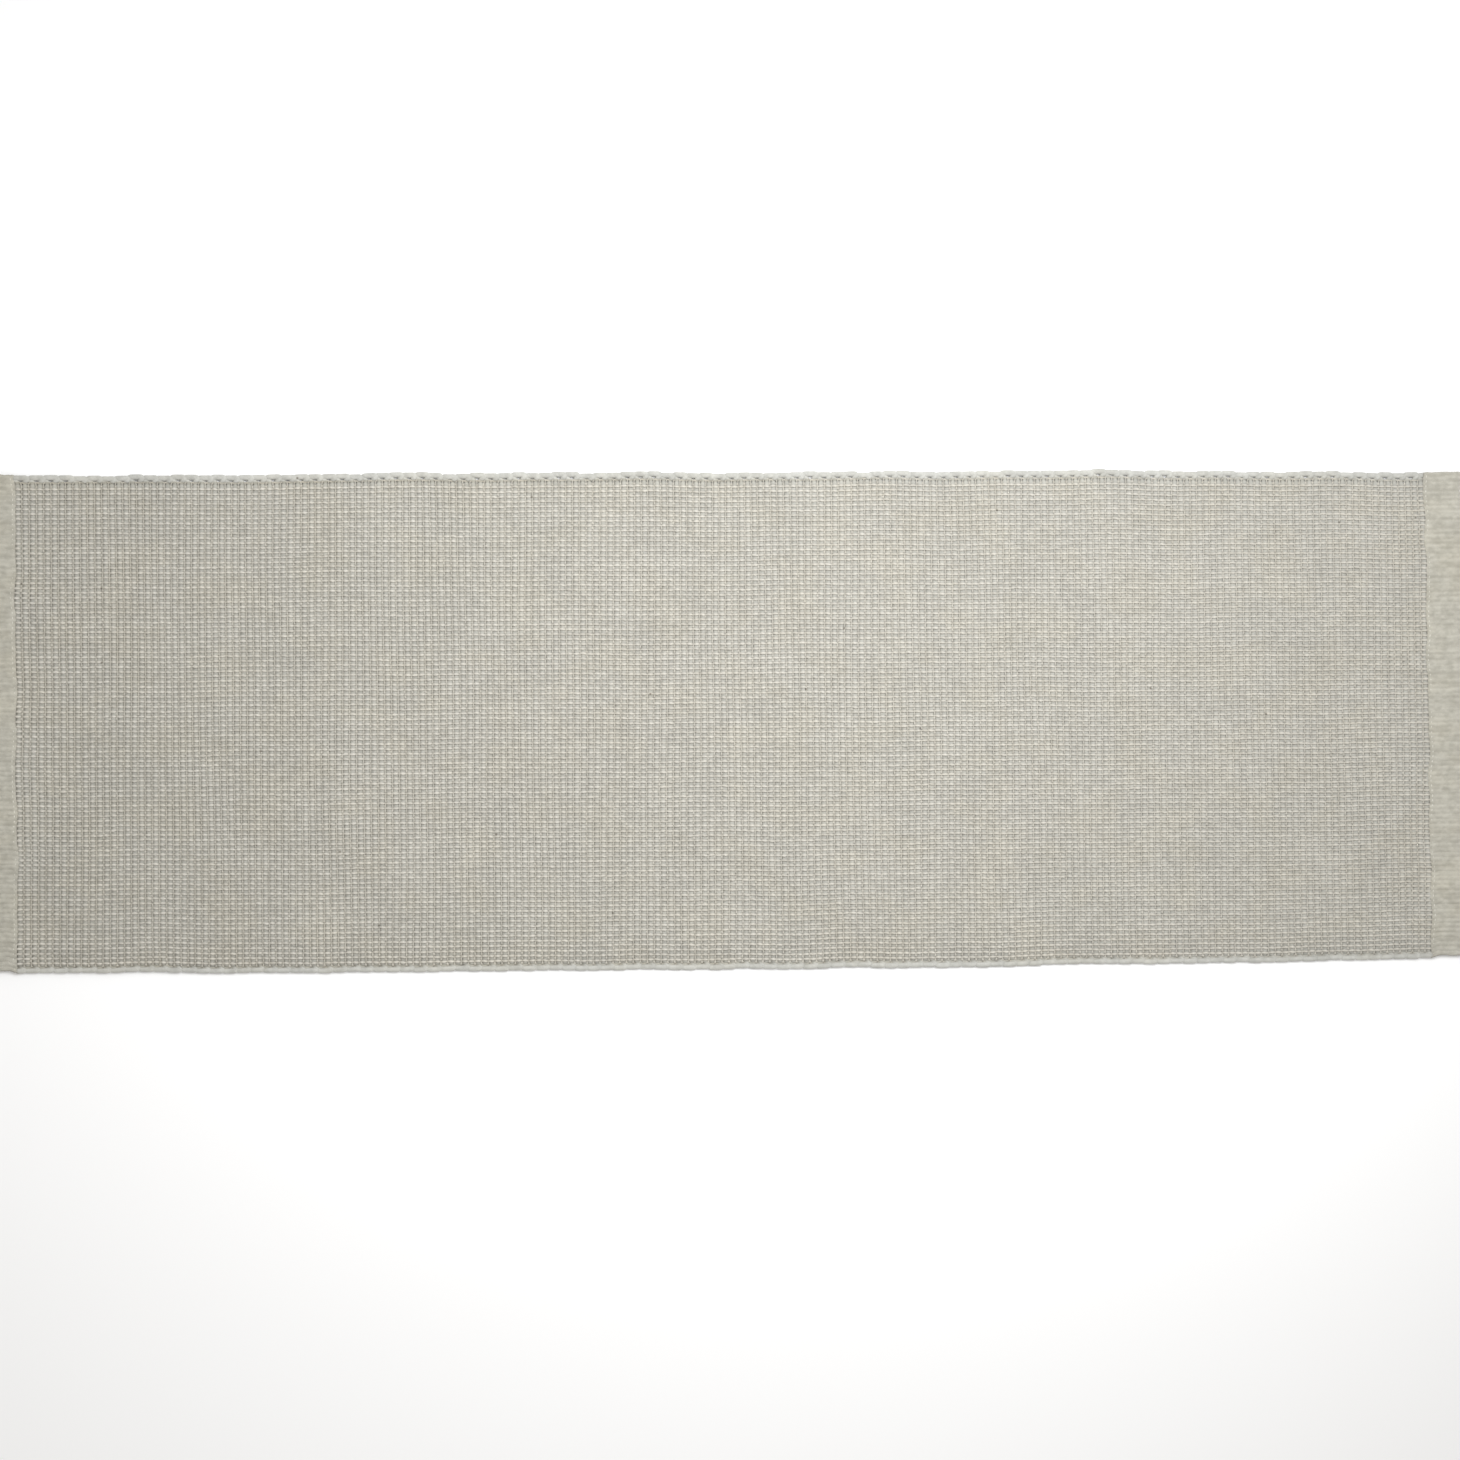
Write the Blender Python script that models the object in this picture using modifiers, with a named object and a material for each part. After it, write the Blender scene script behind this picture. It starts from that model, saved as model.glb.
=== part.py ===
"""Ribbed cotton table runner, lying flat.

A heavy ribbed field runs between two corded selvages. At each end the cloth changes to a thin
plain weave, which is turned under twice and stitched down along the ribs as a hem.
"""

import math

import bmesh
import bpy
from mathutils import Matrix

# Driving dimensions, in metres. Length runs along X, width along Y, and the underside is at Z = 0.
RUNNER_LENGTH = 1.200
RUNNER_WIDTH = 0.400
FIELD_THICKNESS = 0.0033
SELVAGE_WIDTH = 0.0056
BAND_WIDTH = 0.030  # from the last rib to the outer fold
BAND_CLOTH = 0.0009  # one layer of the plain weave
TUCK_WIDTH = 0.014  # raw edge hidden inside the hem
HEM_INSET = 0.0010  # how far the turned-under layers stay back from the side edges
STITCH_WIDTH = 0.0008
GAP = 0.0003  # between solids that touch on the real runner

# Small shapes that follow the cloth, in metres.
RIB_EDGE_ROUND = 0.0008
RETURN_LENGTH = 0.0020  # flat cloth after a fold, before the next layer begins
FOLD_SEGMENTS = 8

# Places worked out from the sizes above.
HALF_LENGTH = RUNNER_LENGTH / 2
HALF_WIDTH = RUNNER_WIDTH / 2
FIELD_END = HALF_LENGTH - BAND_WIDTH
STITCH_START = FIELD_END + GAP
BAND_START = STITCH_START + STITCH_WIDTH + GAP
LAYER_STEP = BAND_CLOTH + GAP
UNDER_Z = BAND_CLOTH / 2
TUCK_Z = UNDER_Z + LAYER_STEP
TOP_Z = TUCK_Z + LAYER_STEP
HEM_HEIGHT = TOP_Z + BAND_CLOTH / 2

# Natural unbleached cotton: base colour (linear) and roughness of each yarn.
RIBBED_COTTON = ("ribbed_cotton", (0.55, 0.53, 0.47), 0.95)
SELVAGE_COTTON = ("selvage_cotton", (0.50, 0.49, 0.43), 0.95)
BAND_COTTON = ("band_cotton", (0.52, 0.50, 0.43), 0.90)
SEWING_THREAD = ("sewing_thread", (0.62, 0.60, 0.54), 0.80)


def clear_scene():
    for obj in list(bpy.data.objects):
        bpy.data.objects.remove(obj, do_unlink=True)


def principled(name, colour, roughness):
    """The named matt cotton material, made once and then shared."""
    material = bpy.data.materials.get(name)
    if material is None:
        material = bpy.data.materials.new(name)
        material.use_nodes = True
        shader = material.node_tree.nodes["Principled BSDF"]
        shader.inputs["Base Color"].default_value = (*colour, 1.0)
        shader.inputs["Roughness"].default_value = roughness
        shader.inputs["Metallic"].default_value = 0.0
    return material


def add_object(name, mesh, collection):
    obj = bpy.data.objects.new(name, mesh)
    collection.objects.link(obj)
    return obj


def box_mesh(name, low, high, finish):
    """A box between two corners, started from a unit cube."""
    size = [top - bottom for bottom, top in zip(low, high)]
    centre = [(top + bottom) / 2 for bottom, top in zip(low, high)]
    shape = bmesh.new()
    bmesh.ops.create_cube(shape, size=1.0, matrix=Matrix.Translation(centre) @ Matrix.Diagonal((*size, 1.0)))
    mesh = bpy.data.meshes.new(name)
    shape.to_mesh(mesh)
    shape.free()
    mesh.materials.append(principled(*finish))
    return mesh


def round_edges(mesh, chosen, radius, segments):
    """Rounds the edges of a mesh for which chosen(midpoint, direction) is true."""
    shape = bmesh.new()
    shape.from_mesh(mesh)
    edges = []
    for edge in shape.edges:
        first, second = (corner.co for corner in edge.verts)
        if chosen((first + second) / 2, (second - first).normalized()):
            edges.append(edge)
    bmesh.ops.bevel(shape, geom=edges, offset=radius, segments=segments, profile=0.5, affect="EDGES")
    shape.to_mesh(mesh)
    shape.free()


def half_turn(centre_x, centre_z, radius, start_angle):
    """Points of a fold seen from the side: half a circle, turning clockwise from start_angle."""
    angles = [start_angle - math.pi * step / FOLD_SEGMENTS for step in range(FOLD_SEGMENTS + 1)]
    return [(centre_x + radius * math.cos(a), centre_z + radius * math.sin(a)) for a in angles]


def cloth_mesh(name, path, width):
    """One layer of band cloth: an open strip along the path in XZ, as wide as given along Y."""
    shape = bmesh.new()
    points = [shape.verts.new((x, -width / 2, z)) for x, z in path]
    edges = [shape.edges.new(pair) for pair in zip(points, points[1:])]
    made = bmesh.ops.extrude_edge_only(shape, edges=edges)["geom"]
    far_side = [item for item in made if isinstance(item, bmesh.types.BMVert)]
    bmesh.ops.translate(shape, verts=far_side, vec=(0.0, width, 0.0))
    mesh = bpy.data.meshes.new(name)
    shape.to_mesh(mesh)
    shape.free()
    mesh.materials.append(principled(*BAND_COTTON))
    return mesh


def add_pair(names, mesh, collection, thickness=None):
    """The same piece at both ends or sides: the second copy is the first turned half round."""
    for name, turn in zip(names, (0.0, math.pi)):
        obj = add_object(name, mesh, collection)
        obj.rotation_euler.z = turn
        if thickness is not None:
            wall = obj.modifiers.new("cloth_thickness", "SOLIDIFY")
            wall.thickness = thickness
            wall.offset = 0.0
            wall.use_even_offset = True


def add_field(collection):
    """The ribbed cloth between the selvages, rounded where its outer ribs end."""
    side = HALF_WIDTH - SELVAGE_WIDTH - GAP
    low = (-FIELD_END, -side, 0.0)
    high = (FIELD_END, side, FIELD_THICKNESS)
    mesh = box_mesh("woven_field", low, high, RIBBED_COTTON)
    round_edges(mesh, lambda middle, along: abs(along.z) < 0.5, RIB_EDGE_ROUND, 3)
    add_object("woven_field", mesh, collection)


def add_selvages(collection):
    """The bound side edges, where the weft turns back round the outermost warp cords."""
    low = (-FIELD_END, HALF_WIDTH - SELVAGE_WIDTH, 0.0)
    high = (FIELD_END, HALF_WIDTH, FIELD_THICKNESS)
    mesh = box_mesh("selvage", low, high, SELVAGE_COTTON)
    middle_of_cord = HALF_WIDTH - SELVAGE_WIDTH / 2
    round_edges(
        mesh,
        lambda middle, along: abs(along.x) > 0.5 and middle.y > middle_of_cord,
        FIELD_THICKNESS * 0.46,
        6,
    )
    add_pair(("selvage_back", "selvage_front"), mesh, collection)


def add_end_bands(collection):
    """The face of each hem: it starts beside the stitching and wraps round the outer fold."""
    radius = (TOP_Z - UNDER_Z) / 2
    fold_x = HALF_LENGTH - radius - BAND_CLOTH / 2
    path = [(BAND_START, TOP_Z)]
    path += half_turn(fold_x, (TOP_Z + UNDER_Z) / 2, radius, math.pi / 2)
    path.append((fold_x - RETURN_LENGTH, UNDER_Z))
    mesh = cloth_mesh("end_band", path, RUNNER_WIDTH)
    add_pair(("end_band_right", "end_band_left"), mesh, collection, BAND_CLOTH)


def add_hem_folds(collection):
    """The layer turned under, which lies on the table and folds once more beside the stitching."""
    outer_radius = (TOP_Z - UNDER_Z) / 2
    outer_x = HALF_LENGTH - outer_radius - BAND_CLOTH / 2 - RETURN_LENGTH - GAP
    radius = LAYER_STEP / 2
    fold_x = BAND_START + BAND_CLOTH / 2 + radius
    path = [(outer_x, UNDER_Z)]
    path += half_turn(fold_x, UNDER_Z + radius, radius, -math.pi / 2)
    path.append((fold_x + RETURN_LENGTH, TUCK_Z))
    mesh = cloth_mesh("hem_fold", path, RUNNER_WIDTH - 2 * HEM_INSET)
    add_pair(("hem_fold_right", "hem_fold_left"), mesh, collection, BAND_CLOTH)


def add_hem_tucks(collection):
    """The raw edge, hidden between the face of the hem and the layer turned under."""
    start = BAND_START + BAND_CLOTH / 2 + LAYER_STEP / 2 + RETURN_LENGTH + GAP
    path = [(start, TUCK_Z), (BAND_START + TUCK_WIDTH, TUCK_Z)]
    mesh = cloth_mesh("hem_tuck", path, RUNNER_WIDTH - 2 * HEM_INSET)
    add_pair(("hem_tuck_right", "hem_tuck_left"), mesh, collection, BAND_CLOTH)


def add_hem_stitches(collection):
    """The lockstitched line that closes each hem, from its top thread down to its bobbin thread."""
    side = HALF_WIDTH - HEM_INSET
    low = (STITCH_START, -side, 0.0)
    high = (STITCH_START + STITCH_WIDTH, side, HEM_HEIGHT)
    mesh = box_mesh("hem_stitch", low, high, SEWING_THREAD)
    round_edges(mesh, lambda middle, along: abs(along.y) > 0.5, STITCH_WIDTH * 0.3, 2)
    add_pair(("hem_stitch_right", "hem_stitch_left"), mesh, collection)


clear_scene()
runner = bpy.data.collections.new("table_runner")
bpy.context.scene.collection.children.link(runner)
add_field(runner)
add_selvages(runner)
add_end_bands(runner)
add_hem_folds(runner)
add_hem_tucks(runner)
add_hem_stitches(runner)
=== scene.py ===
import math

import bpy
import numpy as np
from mathutils import Matrix, Vector


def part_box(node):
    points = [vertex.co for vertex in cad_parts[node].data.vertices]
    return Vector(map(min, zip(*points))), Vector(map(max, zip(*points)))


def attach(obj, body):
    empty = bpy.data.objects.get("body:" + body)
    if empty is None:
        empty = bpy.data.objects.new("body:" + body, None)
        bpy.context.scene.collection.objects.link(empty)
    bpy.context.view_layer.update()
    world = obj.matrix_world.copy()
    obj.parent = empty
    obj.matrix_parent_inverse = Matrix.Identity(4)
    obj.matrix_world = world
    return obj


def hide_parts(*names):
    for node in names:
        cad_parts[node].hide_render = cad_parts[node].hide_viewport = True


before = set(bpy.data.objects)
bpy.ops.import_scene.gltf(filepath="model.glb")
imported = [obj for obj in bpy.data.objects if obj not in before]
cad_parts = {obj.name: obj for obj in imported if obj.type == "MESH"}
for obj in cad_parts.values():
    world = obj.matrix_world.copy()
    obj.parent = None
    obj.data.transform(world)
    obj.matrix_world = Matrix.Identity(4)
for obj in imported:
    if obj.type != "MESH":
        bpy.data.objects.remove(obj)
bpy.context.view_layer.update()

bpy.ops.object.select_all(action="DESELECT")

# ==== Heavy weft =====================================================================
# One thick, softly spun cotton cord laid back and forth across the whole width. Each pass
# is the core of a rib, and where the cord turns at the sides its loops make the selvage.
field_low, field_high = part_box("woven_field")
runner_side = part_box("selvage_back")[1].y
RIBS = 211
rib_pitch = (field_high.x - field_low.x) / RIBS
cloth_middle = (field_low.z + field_high.z) / 2

HEAVY_RADIUS = 0.00215
LOOP_START = 0.1923  # where a pass ends and its turn begins, from the middle of the cloth
LOOP_REACH = 0.0055  # how far the turns stand out past that
OFF_CENTRE = 0.0010  # the passes lie this much nearer to the front, so the back turns are longer
POINTS_A_PASS = 13
WAVE_BASE = 1.2  # the length in metres that the waves below are counted in


def wave_sum(x, y, waves):
    """Adds up long, low waves: (height, waves per base length along X, along Y, start) each."""
    total = np.zeros_like(x)
    for height, along, across, start in waves:
        phase = along * x / WAVE_BASE + across * y / WAVE_BASE + start
        total += height * np.sin(2 * np.pi * phase)
    return total


COLUMN_WANDER = (
    (0.0010, 1.7, 0.4, 0.13), (0.0008, 3.1, -0.9, 0.71), (0.0006, 5.3, 1.6, 0.38),
    (0.0004, 8.9, -2.7, 0.05), (0.0003, 14.0, 4.3, 0.62), (0.0002, 1.0, 7.7, 0.27),
)
ROW_WANDER = (
    (0.0002, 1.3, 0.5, 0.44), (0.0002, 2.9, 1.9, 0.83), (0.0002, 6.1, -3.1, 0.19),
    (0.0002, 13.0, 2.0, 0.57),
)
BACK_EDGE_WAVES = (
    (0.0009, 1.3, 0.0, 0.11), (0.0008, 2.4, 0.0, 0.67), (0.0002, 6.4, 0.0, 0.77),
    (0.0002, 12.3, 0.0, 0.12),
)
FRONT_EDGE_WAVES = (
    (0.0002, 4.9, 0.0, 0.58), (0.0002, 8.2, 0.0, 0.02), (0.0002, 15.1, 0.0, 0.66),
)
FRONT_BOW = 0.0030  # the front side bows out by this much from the ends to the middle
BOW_LEVEL = 0.35  # the share of the bow by which its middle lies outside the straight side
LAST_PICK_REACH = 0.02  # only the ribs this near the ends follow these waves
LAST_PICK_WAVES = ((0.0006, 0.3, 9.1, 0.2), (0.0005, 0.2, 25.0, 0.7), (0.0004, -0.3, 37.0, 0.4))
LIFT_WAVES = ((0.00016, 2.3, 1.1, 0.2), (0.00012, 4.1, -2.6, 0.6), (0.00008, 7.7, 3.9, 0.9))
LOOSE_FIBRE = 0.0007  # the cloth stands on its fibres, this far above the floor
LOOSE_START = 0.09  # the first ribs at the left are beaten this much wider apart
LOOSE_REACH = 0.12  # a slack that fades over this share of the length
SKEW = 0.0043  # how far the last ribs at the right run out of square
STRETCH = 0.0016  # how much longer the right-hand end is pulled
EVENED = 0.80  # at the right-hand end "outward", not the mesh, comes this much closer to one value
EVEN_DEPTH = 0.00115  # that value, as a distance from the cloth's middle layer
LOOP_FREE = 0.0030  # past this far out of a turn its cord lies free of the warp
LOOP_FREE_RISE = 0.001  # it is fully free this much farther out
END_WANDER = 0.25  # the share of the columns' wander that is left at the two ends
END_WANDER_RISE = 0.3  # the smaller, the sooner it is all there


def points_of(piece):
    """The piece's vertices, as rows of (x, y, z)."""
    spots = np.empty(len(piece.data.vertices) * 3, np.float32)
    piece.data.vertices.foreach_get("co", spots)
    return spots.reshape(-1, 3).astype(float)


def move_points(piece, spots):
    """Puts the piece's vertices where the rows of (x, y, z) say."""
    piece.data.vertices.foreach_set("co", spots.astype(np.float32).ravel())
    piece.data.update()


def settle(piece, pressed=0.0, closed=0.0):
    """Lets a piece that was made straight and even wander as hand-beaten cloth does.

    Each point keeps its distance from the cloth's middle layer as the attribute "outward". The
    loops at the sides lie free, so theirs is larger. Towards the right-hand end the cloth looks
    flatter. There a piece loses a share of its height, pressed, and the valleys between its ribs
    fill up by closed. "outward" also evens out there, which fades the painted shade of the
    hollows without changing the mesh.
    """
    x, y, z = points_of(piece).T
    along = np.clip((x - field_low.x) / (field_high.x - field_low.x), 0, 1)
    loosened = LOOSE_START * LOOSE_REACH * (1 - np.exp(-along / LOOSE_REACH))
    ease = loosened - along * LOOSE_START * LOOSE_REACH * (1 - math.exp(-1 / LOOSE_REACH))
    inside = np.sin(np.pi * along) ** END_WANDER_RISE
    moved_x = (field_high.x - field_low.x) * ease
    moved_x += wave_sum(x, y, COLUMN_WANDER) * (END_WANDER + (1 - END_WANDER) * inside)
    moved_x += along**2 * (STRETCH - SKEW * y / (2 * runner_side))
    from_end = field_high.x - np.clip(np.abs(x), 0, field_high.x)
    moved_x += wave_sum(x, y, LAST_PICK_WAVES) * np.exp(-from_end / LAST_PICK_REACH)
    across = np.clip(y / runner_side, -1, 1)
    moved_y = wave_sum(x, y, ROW_WANDER)
    moved_y += np.where(y > 0, across, 0) ** 2 * wave_sum(x, 0 * y, BACK_EDGE_WAVES)
    moved_y -= np.where(y < 0, across, 0) ** 2 * wave_sum(x, 0 * y, FRONT_EDGE_WAVES)
    moved_y += np.where(y < 0, across, 0) ** 2 * FRONT_BOW * ((x / field_high.x) ** 2 - BOW_LEVEL)
    free = np.clip(np.abs(y + OFF_CENTRE) - LOOP_START - LOOP_FREE, 0, LOOP_FREE_RISE)
    valley = 0.5 + 0.5 * np.cos(2 * np.pi * (x - field_low.x) / rib_pitch)
    filled = closed * along * valley
    depth = np.abs(z + filled - cloth_middle) + 2 * free
    depth += (EVEN_DEPTH - depth) * EVENED * along**0.5
    outward = piece.data.attributes.new("outward", "FLOAT", "POINT")
    outward.data.foreach_set("value", depth.astype(np.float32))
    lifted = wave_sum(x, y, LIFT_WAVES) + sum(wave[0] for wave in LIFT_WAVES) + LOOSE_FIBRE
    lifted += filled - pressed * along * (z - cloth_middle)
    move_points(piece, np.column_stack([x + moved_x, y + moved_y, z + lifted]))


def choose(piece):
    """Makes the piece the only selected and the active object."""
    bpy.ops.object.select_all(action="DESELECT")
    piece.select_set(True)
    bpy.context.view_layer.objects.active = piece


DOUBLES = 1e-6  # vertices nearer than this are one


def close_mesh(piece):
    """Welds doubles, fills open ends and turns all faces outwards."""
    choose(piece)
    bpy.ops.object.mode_set(mode="EDIT")
    bpy.ops.mesh.select_all(action="SELECT")
    bpy.ops.mesh.remove_doubles(threshold=DOUBLES)
    bpy.ops.mesh.select_all(action="DESELECT")
    bpy.ops.mesh.select_non_manifold(extend=False, use_wire=False, use_multi_face=False,
                                     use_non_contiguous=False, use_verts=False)
    bpy.ops.mesh.fill_holes(sides=16)
    bpy.ops.mesh.select_all(action="SELECT")
    bpy.ops.mesh.normals_make_consistent(inside=False)
    bpy.ops.object.mode_set(mode="OBJECT")
    bpy.ops.object.shade_smooth()


def yarn(name, route, radius, roundness):
    """A yarn along a route of (x, y, z, thickness, height over width) points, as an open tube.

    Its section has 2 * (roundness + 2) corners.
    """
    bpy.ops.curve.primitive_nurbs_path_add()
    cord = bpy.context.object
    cord.name = name
    cord.data.name = name
    cord.location = (0, 0, 0)
    cord.data.splines.clear()
    spline = cord.data.splines.new("POLY")
    spline.points.add(len(route) - 1)
    route = np.asarray(route, float)
    spline.points.foreach_set("co", np.column_stack([route[:, :3], np.ones(len(route))]).ravel())
    spline.points.foreach_set("radius", route[:, 3])
    cord.data.bevel_depth = radius
    cord.data.bevel_resolution = roundness
    cord.data.twist_mode = "Z_UP"
    choose(cord)
    bpy.ops.object.convert(target="MESH")
    cord = bpy.context.object
    corners = 2 * (roundness + 2)
    rings = points_of(cord).reshape(len(route), corners, 3)
    middle = route[:, 2, None]
    rings[:, :, 2] = middle + (rings[:, :, 2] - middle) * route[:, 4, None]
    move_points(cord, rings)
    return cord


# One turn at the side. Each row is a place along the edge in pitches from the turn's middle, how
# far out it is, how high above the cloth's middle, how thick the cord is there, and its height
# over its width. The neck dips where the selvage end binds it, and the near end lies under the
# turn before.
HEAVY_LOOP = (
    (-0.50, 0.0000, 0.0000, 1.00, 0.48), (-0.50, 0.0012, -0.0006, 0.74, 0.40),
    (-0.53, 0.0026, -0.0006, 0.90, 0.44), (-0.78, 0.0038, -0.0006, 0.96, 0.60),
    (-0.97, 0.0048, -0.0006, 0.94, 0.62), (-0.72, 0.0055, -0.0003, 0.98, 0.68),
    (-0.25, 0.0055, -0.0001, 1.02, 0.70), (0.25, 0.0055, 0.0001, 1.02, 0.70),
    (0.72, 0.0055, 0.0004, 0.98, 0.68), (0.97, 0.0048, 0.0005, 0.94, 0.62),
    (0.78, 0.0038, 0.0003, 0.96, 0.60), (0.53, 0.0026, -0.0004, 0.90, 0.44),
    (0.50, 0.0012, -0.0006, 0.74, 0.40), (0.50, 0.0000, 0.0000, 1.00, 0.48),
)


def rounded(points, steps):
    """A smooth line through given points (Catmull-Rom), with so many steps between two."""
    points = np.array(points)
    ends = np.vstack([2 * points[0] - points[1], points, 2 * points[-1] - points[-2]])
    line = []
    for before, first, last, after in zip(ends, ends[1:], ends[2:], ends[3:]):
        for share in np.arange(steps) / steps:
            line.append(0.5 * (2 * first + (last - before) * share
                               + (2 * before - 5 * first + 4 * last - after) * share**2
                               + (3 * first - before - 3 * last + after) * share**3))
    return np.array(line + [points[-1]])


LOOP_SHAPE_FROM = 0.002  # only the part of a turn past this far out varies in its reach
HEAVY_TURNS_VARY = 0.065  # by this share of their reach


def weft_route(first_x, passes, loop, level, turns_vary, random):
    """Back and forth across the cloth, with a loop round each turn and half a loop at each end."""
    loop = rounded(loop, 2)
    flatness = loop[0][4]
    half = len(loop) // 2
    route = []
    for number in range(-1, passes):
        side = 1 if number % 2 == 0 else -1
        x = first_x + number * rib_pitch
        if number >= 0:
            for y in np.linspace(-side * LOOP_START, side * LOOP_START, POINTS_A_PASS)[:-1]:
                route.append((x, y - OFF_CENTRE, level, 1.0, flatness))
        bulge = 1 + turns_vary * random.normal()
        lean = turns_vary * random.normal()
        longer = 1 + side * OFF_CENTRE / LOOP_REACH
        turn = loop[:-1]
        if number == -1:
            turn = loop[half:-1]
        if number == passes - 1:
            turn = loop[:half]
        for along, out, height, thick, flat in turn:
            reach = longer * out * (bulge if out > LOOP_SHAPE_FROM else 1)
            route.append((x + (0.5 + along + lean * out / LOOP_REACH) * rib_pitch,
                          side * (LOOP_START + reach) - OFF_CENTRE, level + height, thick, flat))
    return route


class Socket:
    """A shader socket: Python arithmetic on it adds Math nodes, and node() adds any other."""

    def __init__(self, tree, source):
        self.tree = tree
        self.source = source

    def node(self, kind, settings=None, out=0, **inputs):
        made = self.tree.nodes.new(kind)
        for name, value in (settings or {}).items():
            setattr(made, name, value)
        for name, value in inputs.items():
            place = made.inputs[int(name[1:]) if name[1:].isdigit() else name.replace("_", " ")]
            if isinstance(value, Socket):
                self.tree.links.new(value.source, place)
            else:
                place.default_value = value
        return Socket(self.tree, made.outputs[out])

    def math(self, operation, first, second=0.0):
        return self.node("ShaderNodeMath", {"operation": operation}, i0=first, i1=second)

    def __add__(self, other):
        return self.math("ADD", self, other)

    def __sub__(self, other):
        return self.math("SUBTRACT", self, other)

    def __rsub__(self, other):
        return self.math("SUBTRACT", other, self)

    def __mul__(self, other):
        return self.math("MULTIPLY", self, other)

    __radd__ = __add__
    __rmul__ = __mul__

    def __gt__(self, other):
        return self.math("GREATER_THAN", self, other)


def times(value, factors):
    """A vector or a colour, multiplied part by part."""
    return value.node("ShaderNodeVectorMath", {"operation": "MULTIPLY"}, i0=value, i1=factors)


def stretched_noise(place, scale, detail=2.0, roughness=0.5):
    """Noise from 0 to 1, with scale = (X, Y, Z) patches per metre."""
    return place.node("ShaderNodeTexNoise", Vector=times(place, scale), Scale=1.0,
                      Detail=detail, Roughness=roughness)


def spread(value, low, high):
    """A 0-to-1 value, eased between low and high."""
    return value.node("ShaderNodeMapRange", {"interpolation_type": "SMOOTHSTEP"},
                      Value=value, From_Min=low, From_Max=high, To_Min=0.0, To_Max=1.0)


def mixed(factor, first, last, blend="MIX"):
    """A colour mixed between two, each a socket or (red, green, blue)."""
    first, last = (each if isinstance(each, Socket) else (*each, 1) for each in (first, last))
    return factor.node("ShaderNodeMix", {"data_type": "RGBA", "blend_type": blend}, out=2,
                       i0=factor, i6=first, i7=last)


ALONG_X = "X"
ALONG_Y = "Y"
# Patches per metre, in X, Y and Z. Tone and fibre run along the yarn.
TONE_SCALE = {ALONG_X: (7.0, 251.0, 40.0), ALONG_Y: (185.0, 6.0, 40.0)}
FIBRE_SCALE = {ALONG_X: (350.0, 3200.0, 3200.0), ALONG_Y: (3200.0, 350.0, 3200.0)}
MOTTLE_SCALE = (16.0, 22.0, 20.0)
FLOAT_SCALE = (190.0, 260.0, 90.0)
WARMTH_SCALE = (26.0, 34.0, 26.0)
PLY_LEAN = {ALONG_X: (1.0, 1.1, 0.6), ALONG_Y: (1.1, 1.0, 0.6)}
PLY_WAVES = 6.2832 / 20.0  # the wave pattern's scale for one turn of the plies in a metre
FUZZ_DEPTH = 0.00025
YELLOWED = (1.012, 1.0, 0.972)
HUSK = (0.14, 0.12, 0.09)
HUSK_CELLS = 32.0  # places per metre each way where a speck may sit
HUSK_RARITY = 0.95  # the share of those places that have none
HUSK_RIM = (0.016, 0.040)  # where a speck begins to fade and where it ends, in cells
PALE_DEPTH = (0.0004, 0.0017)  # between these depths the painted shade of the hollows fades out


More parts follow.
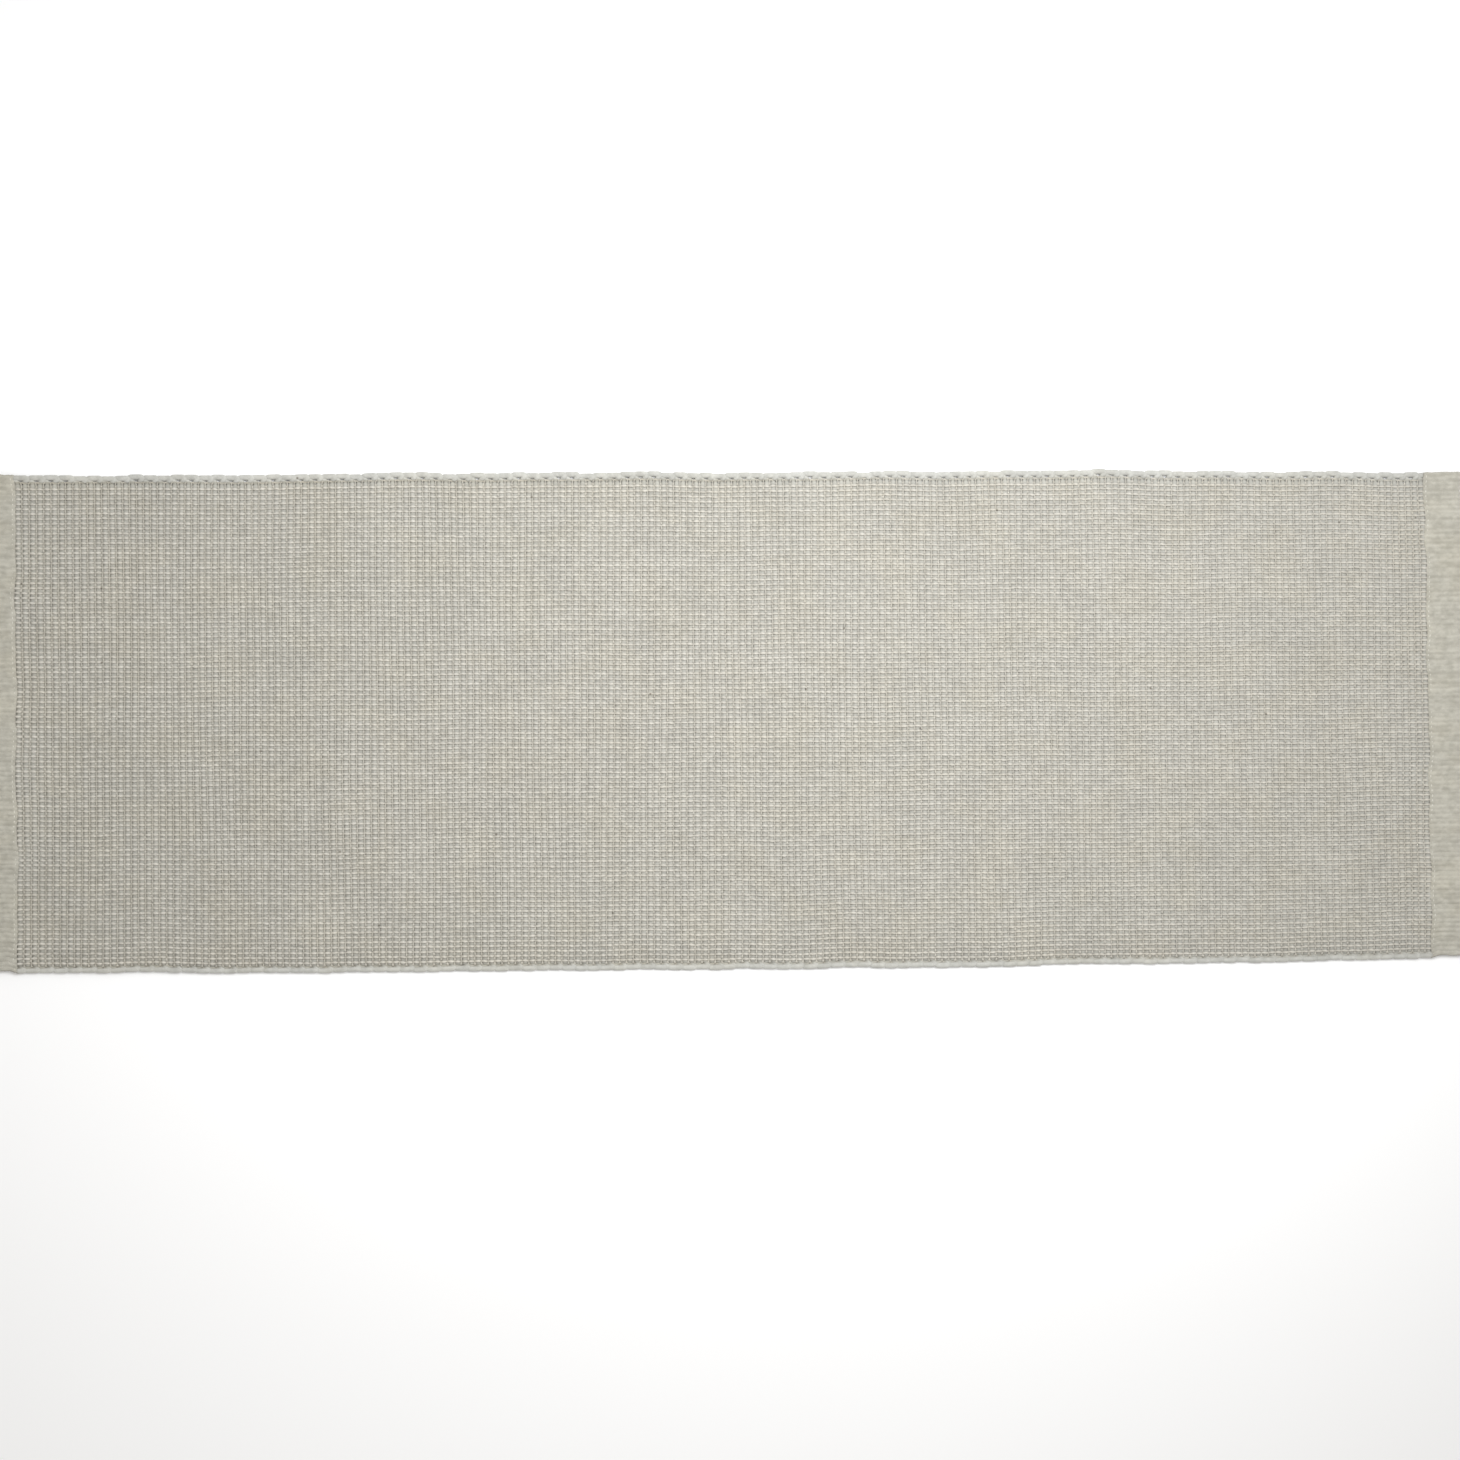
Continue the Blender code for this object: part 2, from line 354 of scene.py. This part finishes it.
def cotton(name, pale, dark, direction, fuzz, twist_pitch, bump, seeds=True, hollow=None):
    """Unbleached cotton yarn, running in a direction.

    fuzz is how much the loose fibre stands out beside the plies, which turn once in
    twist_pitch, and bump is the strength of both. hollow is how much of each colour is left
    deep between the yarns. It is painted: it stands in for the shade of lint and gaps that are
    too fine to model, beyond what the light gives.
    """
    material = bpy.data.materials.new(name)
    material.use_nodes = True
    tree = material.node_tree
    shader = tree.nodes["Principled BSDF"]
    place = Socket(tree, tree.nodes.new("ShaderNodeTexCoord").outputs["Object"])
    # Each yarn has its own tone, which changes slowly along it, over a soft mottling of the cloth.
    # Single floats differ too, and so do the fibres.
    tone = stretched_noise(place, TONE_SCALE[direction], 1.0)
    mottle = stretched_noise(place, MOTTLE_SCALE, 3.0)
    fibre = stretched_noise(place, FIBRE_SCALE[direction], 2.0, 0.6)
    each_float = stretched_noise(place, FLOAT_SCALE, 1.0)
    shade = tone * 0.21 + mottle * 0.11 + fibre * 0.32 + each_float * 0.36
    colour = mixed(spread(shade, 0.36, 0.64), dark, pale)
    # Some patches of cotton are yellower than others.
    warmth = spread(stretched_noise(place, WARMTH_SCALE, 2.0), 0.40, 0.66)
    colour = mixed(warmth * 0.8, colour, YELLOWED, "MULTIPLY")
    if hollow:
        # Painted shade: the colour darkens deep between the yarns, read from "outward".
        outward = place.node("ShaderNodeAttribute", {"attribute_name": "outward"}, out=2)
        colour = times(colour, mixed(spread(outward, *PALE_DEPTH), hollow, (1, 1, 1)))
    if seeds:
        # Specks of seed husk, a millimetre or two across, a dozen or two in the whole cloth.
        flat = times(place, (1.0, 1.0, 0.0))
        cells = {"voronoi_dimensions": "2D"}
        from_speck = flat.node("ShaderNodeTexVoronoi", cells, out=0, Vector=flat, Scale=HUSK_CELLS)
        which = flat.node("ShaderNodeTexVoronoi", cells, out=1, Vector=flat, Scale=HUSK_CELLS)
        chance = which.node("ShaderNodeSeparateColor", out=0, Color=which)
        husk = (chance > HUSK_RARITY) * (1.0 - spread(from_speck, *HUSK_RIM))
        colour = mixed(husk * 0.75, colour, HUSK)
    tree.links.new(colour.source, shader.inputs["Base Color"])
    roughness = 0.86 + fibre * 0.14
    tree.links.new(roughness.source, shader.inputs["Roughness"])
    shader.inputs["Specular IOR Level"].default_value = 0.25
    shader.inputs["Sheen Weight"].default_value = 0.25
    shader.inputs["Sheen Roughness"].default_value = 0.6
    # Plies twisted round each other at a slant, with loose fibre on top.
    slanted = times(place, PLY_LEAN[direction])
    bands = {"wave_type": "BANDS", "bands_direction": "DIAGONAL"}
    twist = slanted.node("ShaderNodeTexWave", bands, out=1, Vector=slanted,
                         Scale=PLY_WAVES / twist_pitch, Distortion=1.2, Detail=1.0,
                         Detail_Scale=2.0)
    relief = twist * 0.5 + fibre * fuzz
    raised = relief.node("ShaderNodeBump", Strength=bump, Distance=FUZZ_DEPTH, Height=relief)
    tree.links.new(raised.source, shader.inputs["Normal"])
    return material


def wear(piece, material):
    """Gives the piece its material and its slot, and fixes it to the object's one body."""
    piece.data.materials.clear()
    piece.data.materials.append(material)
    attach(piece, "root")


heavy_cotton = cotton("heavy_weft_cotton", pale=(0.523, 0.521, 0.484), dark=(0.403, 0.401, 0.370),
                      direction=ALONG_Y, fuzz=0.5, twist_pitch=0.0016, bump=0.5,
                      hollow=(0.735, 0.715, 0.665))
loop_random = np.random.default_rng(7)
heavy_route = weft_route(field_low.x + rib_pitch / 2, RIBS, HEAVY_LOOP, cloth_middle,
                         HEAVY_TURNS_VARY, loop_random)
heavy_weft = yarn("heavy_weft", heavy_route, HEAVY_RADIUS, 2)
close_mesh(heavy_weft)
settle(heavy_weft)
wear(heavy_weft, heavy_cotton)
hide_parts("woven_field")

# ==== Fine weft ======================================================================
# A thin cotton yarn, one pass between every two heavy ones. It binds the warp ends in the
# valleys between the ribs, and turns close to the outermost end at each side.
FINE_RADIUS = 0.00055
FINE_LEVEL = 0.00045  # it lies this much above the cloth's middle
FINE_TURNS_VARY = 0.06
FINE_LOOP = (
    (-0.50, 0.0000, 0.0000, 1.0, 0.75), (-0.48, 0.0014, -0.0004, 1.0, 0.75),
    (-0.34, 0.0026, -0.0006, 1.0, 0.75), (0.00, 0.0030, -0.0006, 1.0, 0.75),
    (0.34, 0.0026, -0.0006, 1.0, 0.75), (0.48, 0.0014, -0.0004, 1.0, 0.75),
    (0.50, 0.0000, 0.0000, 1.0, 0.75),
)
fine_route = weft_route(field_low.x, RIBS + 1, FINE_LOOP, cloth_middle + FINE_LEVEL,
                        FINE_TURNS_VARY, loop_random)
fine_weft = yarn("fine_weft", fine_route, FINE_RADIUS, 1)
close_mesh(fine_weft)
settle(fine_weft)
fine_cotton = cotton("fine_weft_cotton", pale=(0.569, 0.552, 0.502), dark=(0.448, 0.433, 0.388),
                     direction=ALONG_Y, fuzz=0.4, twist_pitch=0.0009, bump=0.4,
                     hollow=(0.81, 0.795, 0.75))
wear(fine_weft, fine_cotton)

# ==== Warp ends ======================================================================
# Cotton ends that run the whole length in two sets. One set floats over every heavy pass and
# dives under the fine ones, as the bright lumps of the face; the other set does the same below.
FACE_ENDS = 97
OUTER_END = 0.1903  # from the middle of the set to its outermost end
ENDS_OFF_CENTRE = 0.0018  # the whole set lies this much nearer to the front side
end_pitch = 2 * OUTER_END / (FACE_ENDS - 1)
GROUP_SIZE = 25  # ends in one piece
# One rib's worth of an end: share of the pitch, height, half height and half width. The face
# set floats high over the heavy pass; the other set comes up only between two heavy passes.
FACE_RINGS = (
    (0.00, 0.00152, 0.00030, 0.00086),
    (0.20, 0.00252, 0.00043, 0.00098),
    (0.50, 0.00303, 0.00052, 0.00128),
    (0.80, 0.00252, 0.00043, 0.00098),
    (1.00, 0.00152, 0.00030, 0.00086),
)
BACK_RINGS = (
    (0.00, 0.00272, 0.00040, 0.00132),
    (0.20, 0.00085, 0.00042, 0.00118),
    (0.50, 0.00045, 0.00043, 0.00150),
    (0.80, 0.00085, 0.00042, 0.00118),
    (1.00, 0.00272, 0.00040, 0.00132),
)
uneven = bpy.data.textures.new("uneven_spinning", "CLOUDS")
uneven.noise_scale = 0.0045
uneven.noise_depth = 1
uneven.cloud_type = "COLOR"
UNEVEN_BY = 0.0010


def shape_float(piece, rings):
    """Moves the rings of a cut-up tube onto the path that an end takes over one rib."""
    for vertex in piece.data.vertices:
        share = vertex.co.x / rib_pitch
        ring = min(rings, key=lambda each: abs(each[0] - share))
        size = math.hypot(vertex.co.y, vertex.co.z)
        vertex.co = (ring[0] * rib_pitch, ring[3] * vertex.co.y / size,
                     ring[1] + ring[2] * vertex.co.z / size)


JOINING = 0.00001  # how near the ends of two copies are to be joined


def repeat(piece, count, step, merge=False):
    """Repeats a piece along a step, each copy with its own faces, joined end to end or not."""
    array = piece.modifiers.new("repeat", "ARRAY")
    array.count = count
    array.use_relative_offset = False
    array.use_constant_offset = True
    array.constant_offset_displace = step
    array.use_merge_vertices = merge
    array.merge_threshold = JOINING
    choose(piece)
    bpy.ops.object.modifier_apply(modifier="repeat")


def spin_unevenly(piece):
    """Pushes the surface about in all directions, as softly spun yarn is never even."""
    bumps = piece.modifiers.new("uneven_spinning", "DISPLACE")
    bumps.texture = uneven
    bumps.texture_coords = "LOCAL"
    bumps.direction = "RGB_TO_XYZ"
    bumps.mid_level = 0.5
    bumps.strength = UNEVEN_BY
    choose(piece)
    bpy.ops.object.modifier_apply(modifier="uneven_spinning")


def warp_end(name, rings):
    """One end, from the first fine pass to the last, floating over every rib."""
    bpy.ops.mesh.primitive_cylinder_add(vertices=4, radius=0.001, depth=rib_pitch,
                                        end_fill_type="NOTHING", rotation=(0, math.pi / 2, 0))
    end = bpy.context.object
    end.name = name
    bpy.ops.object.transform_apply(location=True, rotation=True, scale=True)
    bpy.ops.object.mode_set(mode="EDIT")
    bpy.ops.mesh.select_all(action="SELECT")
    bpy.ops.transform.translate(value=(rib_pitch / 2, 0, 0))
    for cut in rings[1:-1]:
        bpy.ops.mesh.select_all(action="SELECT")
        bpy.ops.mesh.bisect(plane_co=(cut[0] * rib_pitch, 0, 0), plane_no=(1, 0, 0))
    bpy.ops.object.mode_set(mode="OBJECT")
    shape_float(end, rings)
    repeat(end, RIBS, (rib_pitch, 0, 0), merge=True)
    close_mesh(end)
    return end


def warp_group(name, first, count, shift, rings, pressed, closed):
    """Neighbouring ends as one piece, each with its own unevenness."""
    group = warp_end(name, rings)
    repeat(group, count, (0, end_pitch, 0))
    choose(group)
    group.location = (field_low.x, first * end_pitch + shift - OUTER_END - ENDS_OFF_CENTRE, 0)
    bpy.ops.object.transform_apply(location=True, rotation=True, scale=True)
    spin_unevenly(group)
    settle(group, pressed, closed)
    wear(group, warp_cotton)
    return group


warp_cotton = cotton("warp_cotton", pale=(0.642, 0.618, 0.556), dark=(0.495, 0.474, 0.421),
                     direction=ALONG_X, fuzz=0.5, twist_pitch=0.0012, bump=0.55,
                     hollow=(0.745, 0.725, 0.68))
# The two sets: their side, ends, shift across, rings, and how settle() presses and closes them.
for face, ends, shift, rings, pressed, closed in (
    ("upper", FACE_ENDS, 0.0, FACE_RINGS, 0.15, 0.0003),
    ("lower", FACE_ENDS + 1, -end_pitch / 2, BACK_RINGS, -0.06, 0.0),
):
    for number, first in enumerate(range(0, ends, GROUP_SIZE), 1):
        count = min(GROUP_SIZE, ends - first)
        group = warp_group(f"warp_{face}_{number}", first, count, shift, rings, pressed, closed)

# ==== Selvage ends ===================================================================
# A finer end at each side, woven over and under the heavy cord just inside its loops, which
# it holds in place. It lies in the groove between the loops and the first row of floats.
SELVAGE_END_RADIUS = 0.0009
SELVAGE_END_LEVEL = -0.0006  # from the cloth's middle
SELVAGE_END_SWING = 0.0004  # up and down from that
GROOVE_INSIDE = 0.0004  # how far inside the selvage its groove lies
for name, side in (("back", 1), ("front", -1)):
    groove = side * (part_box("selvage_back")[0].y + GROOVE_INSIDE) - OFF_CENTRE
    route = []
    for rib in range(2 * RIBS + 1):
        over = math.sin(math.pi * rib / 2) * side
        height = cloth_middle + SELVAGE_END_LEVEL - SELVAGE_END_SWING * over
        route.append((field_low.x + rib * rib_pitch / 2, groove, height, 1.0, 0.6))
    end = yarn(f"selvage_end_{name}", route, SELVAGE_END_RADIUS, 1)
    close_mesh(end)
    settle(end)
    wear(end, warp_cotton)
    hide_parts(f"selvage_{name}")

# ==== End bands ======================================================================
# Past the last rib only the fine weft goes on, so the warp closes into a thin plain weave. It is
# turned under at the end, and its raw edge once more, to lie hidden inside the hem.
PICK_STEP = 0.0011
STEPS_AN_END = 4
CROSSING_RELIEF = 0.00044  # where one yarn passes over another
STREAK_RELIEF = 0.00040  # along each end
UNDER_RELIEF = 0.4  # the share of both that is left below, where the cloth is pressed flat
BAND_START_INSIDE = 0.0008  # the band's cloth begins this far under the last rib
DRAWN_IN = 0.0026  # how much narrower the thin band is at the front side
DRAWN_OVER = 0.006  # it narrows over this much of its start
RIM_WIDTH = 0.0030  # the turned edge at each side, where the weft goes back
RIM_FALL = 0.0003
GROOVE_IN = 0.0034  # from the side to the groove beside that edge
GROOVE_WIDTH = 0.0006
GROOVE_DEPTH = 0.0002
SEAM_AT = 0.0023  # from the start of the cloth to the line of stitches, which pulls it down
SEAM_WIDTH = 0.0006
SEAM_DEPTH = 0.0002
START_WIDTH = 0.0010  # over this much the cloth comes up from under the last rib
START_FALL = 0.0009
TUCKED_SIDES = 0.0010  # how much narrower the hidden layers are at each side
TUCKED_AFTER = 0.004  # from this far past the face


def hem_path(travelled, start_x, fold_x, inner_x, top_z, under_z, tuck_z):
    """Where a point of the flat cloth goes in X and Z once folded, and which way it then faces."""
    big = (top_z - under_z) / 2
    small = (tuck_z - under_z) / 2
    stretches = np.cumsum([fold_x - start_x, math.pi * big, fold_x - inner_x, math.pi * small])
    x, z, nx, nz = (np.zeros_like(travelled) for _ in range(4))
    part = travelled <= stretches[0]
    x[part], z[part], nz[part] = start_x + travelled[part], top_z, 1
    part = (travelled > stretches[0]) & (travelled <= stretches[1])
    angle = math.pi / 2 - (travelled[part] - stretches[0]) / big
    x[part], z[part] = fold_x + big * np.cos(angle), under_z + big + big * np.sin(angle)
    nx[part], nz[part] = np.cos(angle), np.sin(angle)
    part = (travelled > stretches[1]) & (travelled <= stretches[2])
    x[part], z[part], nz[part] = fold_x - (travelled[part] - stretches[1]), under_z, -1
    part = (travelled > stretches[2]) & (travelled <= stretches[3])
    angle = -math.pi / 2 - (travelled[part] - stretches[2]) / small
    x[part], z[part] = inner_x + small * np.cos(angle), under_z + small + small * np.sin(angle)
    nx[part], nz[part] = np.cos(angle), np.sin(angle)
    part = travelled > stretches[3]
    x[part], z[part], nz[part] = inner_x + travelled[part] - stretches[3], tuck_z, 1
    return x, z, nx, nz


band_cotton = cotton("band_cotton", pale=(0.513, 0.495, 0.429), dark=(0.377, 0.360, 0.306),
                     direction=ALONG_X, fuzz=0.6, twist_pitch=0.0011, bump=0.6)
for name, side in (("right", 1), ("left", -1)):
    face_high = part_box("end_band_right")[1]
    tuck_low, tuck_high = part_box("hem_tuck_right")
    layer = tuck_high.z - tuck_low.z
    top_z, tuck_z, under_z = face_high.z - layer / 2, (tuck_low.z + tuck_high.z) / 2, layer / 2
    fold_x = face_high.x - layer / 2 - (top_z - under_z) / 2
    inner_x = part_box("hem_fold_right")[0].x + layer / 2 + (tuck_z - under_z) / 2
    start_x = field_high.x - BAND_START_INSIDE
    cut_length = (fold_x - start_x) + math.pi * (top_z - under_z) / 2 + (fold_x - inner_x)
    cut_length += math.pi * (tuck_z - under_z) / 2 + (tuck_high.x - inner_x)
    picks = round(cut_length / PICK_STEP)
    ends = round(2 * runner_side / end_pitch)
    bpy.ops.mesh.primitive_grid_add(x_subdivisions=picks, y_subdivisions=ends * STEPS_AN_END,
                                    size=1)
    band = bpy.context.object
    band.name = f"end_band_cloth_{name}"
    flat_x, flat_y, _ = points_of(band).T
    travelled = (flat_x + 0.5) * cut_length
    width = flat_y * 2 * runner_side
    pick = np.round(travelled / (cut_length / picks))
    streak = np.cos(2 * np.pi * width / end_pitch)
    crossing = streak * (1 - 2 * (pick % 2))
    x, z, nx, nz = hem_path(travelled, start_x, fold_x, inner_x, top_z, under_z, tuck_z)
    rim = np.clip((np.abs(width) - (runner_side - RIM_WIDTH)) / RIM_WIDTH, 0, 1)
    groove = np.exp(-((np.abs(width) - (runner_side - GROOVE_IN)) / GROOVE_WIDTH) ** 2)
    start = np.exp(-(travelled / START_WIDTH) ** 2)
    seam = np.exp(-((travelled - SEAM_AT) / SEAM_WIDTH) ** 2)
    raised = CROSSING_RELIEF * crossing + STREAK_RELIEF * streak * (1 - rim)
    raised *= np.where(nz < 0, UNDER_RELIEF, 1.0)
    raised -= GROOVE_DEPTH * groove + SEAM_DEPTH * seam + RIM_FALL * rim**3 + START_FALL * start
    across = width / runner_side
    tucked = TUCKED_SIDES * np.sign(across) * np.abs(across) ** 8
    tucked *= travelled > fold_x - start_x + TUCKED_AFTER
    drawn = DRAWN_IN * np.clip(-across, 0, 1) ** 2 * np.clip(travelled / DRAWN_OVER, 0, 1)
    spots = [side * (x + raised * nx), width - tucked + drawn, z + raised * nz]
    move_points(band, np.column_stack(spots))
    wall = band.modifiers.new("cloth_thickness", "SOLIDIFY")
    wall.thickness = layer
    wall.offset = 0.0
    choose(band)
    bpy.ops.object.modifier_apply(modifier="cloth_thickness")
    close_mesh(band)
    spin_unevenly(band)
    settle(band)
    wear(band, band_cotton)
    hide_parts(f"end_band_{name}", f"hem_fold_{name}", f"hem_tuck_{name}")

# ==== Hem stitches ===================================================================
# Cotton sewing thread, lockstitched through all the layers beside the last rib. Each stitch shows
# as a short rounded strand above, and as the bobbin's strand below.
STITCH_LENGTH = 0.0034
STITCH_GAP = 0.0007
THREAD_RADIUS = 0.00042
STITCH_DIP = 0.0009  # how far the ends of a stitch sink into the cloth
STITCH_SLANT = 0.00015  # how far they stand out of line, one to each side
STITCH_CUTS = (-0.38, -0.2, 0.2, 0.38)  # where it is cut to bend, in lengths from its middle
SEAM_OFF_FIELD = 0.0015
thread_cotton = cotton("sewing_thread", pale=(0.68, 0.665, 0.60), dark=(0.57, 0.555, 0.495),
                       direction=ALONG_Y, fuzz=0.3, twist_pitch=0.0006, bump=0.4, seeds=False)
for name, side in (("right", 1), ("left", -1)):
    stitch_low, stitch_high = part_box(f"hem_stitch_{name}")
    seam_x = side * (field_high.x + SEAM_OFF_FIELD)
    count = int((stitch_high.y - stitch_low.y) / (STITCH_LENGTH + STITCH_GAP))
    bpy.ops.mesh.primitive_cylinder_add(vertices=6, radius=THREAD_RADIUS, depth=STITCH_LENGTH,
                                        rotation=(math.pi / 2, 0, 0))
    stitch = bpy.context.object
    stitch.name = f"hem_stitches_{name}"
    bpy.ops.object.transform_apply(location=True, rotation=True, scale=True)
    bpy.ops.object.mode_set(mode="EDIT")
    for cut in STITCH_CUTS:
        bpy.ops.mesh.select_all(action="SELECT")
        bpy.ops.mesh.bisect(plane_co=(0, cut * STITCH_LENGTH, 0), plane_no=(0, 1, 0))
    bpy.ops.mesh.select_all(action="SELECT")
    bpy.ops.mesh.duplicate()
    bpy.ops.transform.translate(value=(0, STITCH_GAP / 2, -(stitch_high.z - 2 * THREAD_RADIUS)))
    bpy.ops.object.mode_set(mode="OBJECT")
    for vertex in stitch.data.vertices:
        top = vertex.co.z > -THREAD_RADIUS * 2
        share = abs(vertex.co.y - (0 if top else STITCH_GAP / 2)) / (STITCH_LENGTH / 2)
        vertex.co.z += (-1 if top else 1) * STITCH_DIP * share**3
        vertex.co.x += STITCH_SLANT * math.copysign(share**2, vertex.co.y)
    repeat(stitch, count, (0, STITCH_LENGTH + STITCH_GAP, 0))
    choose(stitch)
    stitch.location = (seam_x, stitch_low.y + STITCH_LENGTH / 2,
                       stitch_high.z - THREAD_RADIUS * 0.9)
    bpy.ops.object.transform_apply(location=True, rotation=True, scale=True)
    close_mesh(stitch)
    settle(stitch)
    wear(stitch, thread_cotton)
    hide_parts(f"hem_stitch_{name}")

# ==== Floor, light and camera ========================================================
# A plain pale table top under soft daylight from above and behind, seen from almost straight above.
bpy.ops.mesh.primitive_plane_add(size=12)
floor = bpy.context.object
floor.name = "floor"
pale_floor = bpy.data.materials.new("pale_floor")
pale_floor.use_nodes = True
floor_shader = pale_floor.node_tree.nodes["Principled BSDF"]
floor_shader.inputs["Base Color"].default_value = (0.96, 0.96, 0.96, 1)
floor_shader.inputs["Roughness"].default_value = 0.8
floor.data.materials.append(pale_floor)

world = bpy.data.worlds.new("studio")
bpy.context.scene.world = world
world.use_nodes = True
background = world.node_tree.nodes["Background"]
background.inputs["Color"].default_value = (1.015, 1.0, 0.975, 1)
background.inputs["Strength"].default_value = 0.66
bpy.context.scene.view_settings.view_transform = "Standard"

LAMP_PLACE = (0.29, 0.43, 1.2)
LAMP_AIM = (0.0, 0.16, 0)
bpy.ops.object.light_add(type="AREA", location=LAMP_PLACE)
lamp = bpy.context.object
lamp.name = "window_light"
lamp.data.shape = "SQUARE"
lamp.data.size = 0.7
lamp.data.energy = 6.0
lamp.data.color = (0.985, 1.0, 1.025)
lamp.data.spread = math.radians(105)
lamp.visible_camera = False
lamp.rotation_mode = "QUATERNION"
lamp.rotation_quaternion = Vector(np.subtract(LAMP_AIM, LAMP_PLACE)).to_track_quat("-Z", "Y")

DISTANCE = 2.2
TILT = math.radians(2.53)
ROLL = math.radians(-0.386)
AIM = (0.0009, -0.0080, 0.0033)
LENS = 67.25  # in millimetres, and so is the sensor
bpy.ops.object.camera_add()
camera = bpy.context.object
camera.data.lens = LENS
camera.data.sensor_width = 36
camera.data.clip_end = 50
camera.location = (AIM[0] - DISTANCE * math.sin(TILT), AIM[1], AIM[2] + DISTANCE * math.cos(TILT))
camera.rotation_mode = "XYZ"
turn = Matrix.Rotation(-TILT, 4, "Y") @ Matrix.Rotation(ROLL, 4, "Z")
camera.rotation_euler = turn.to_euler()
bpy.context.scene.camera = camera
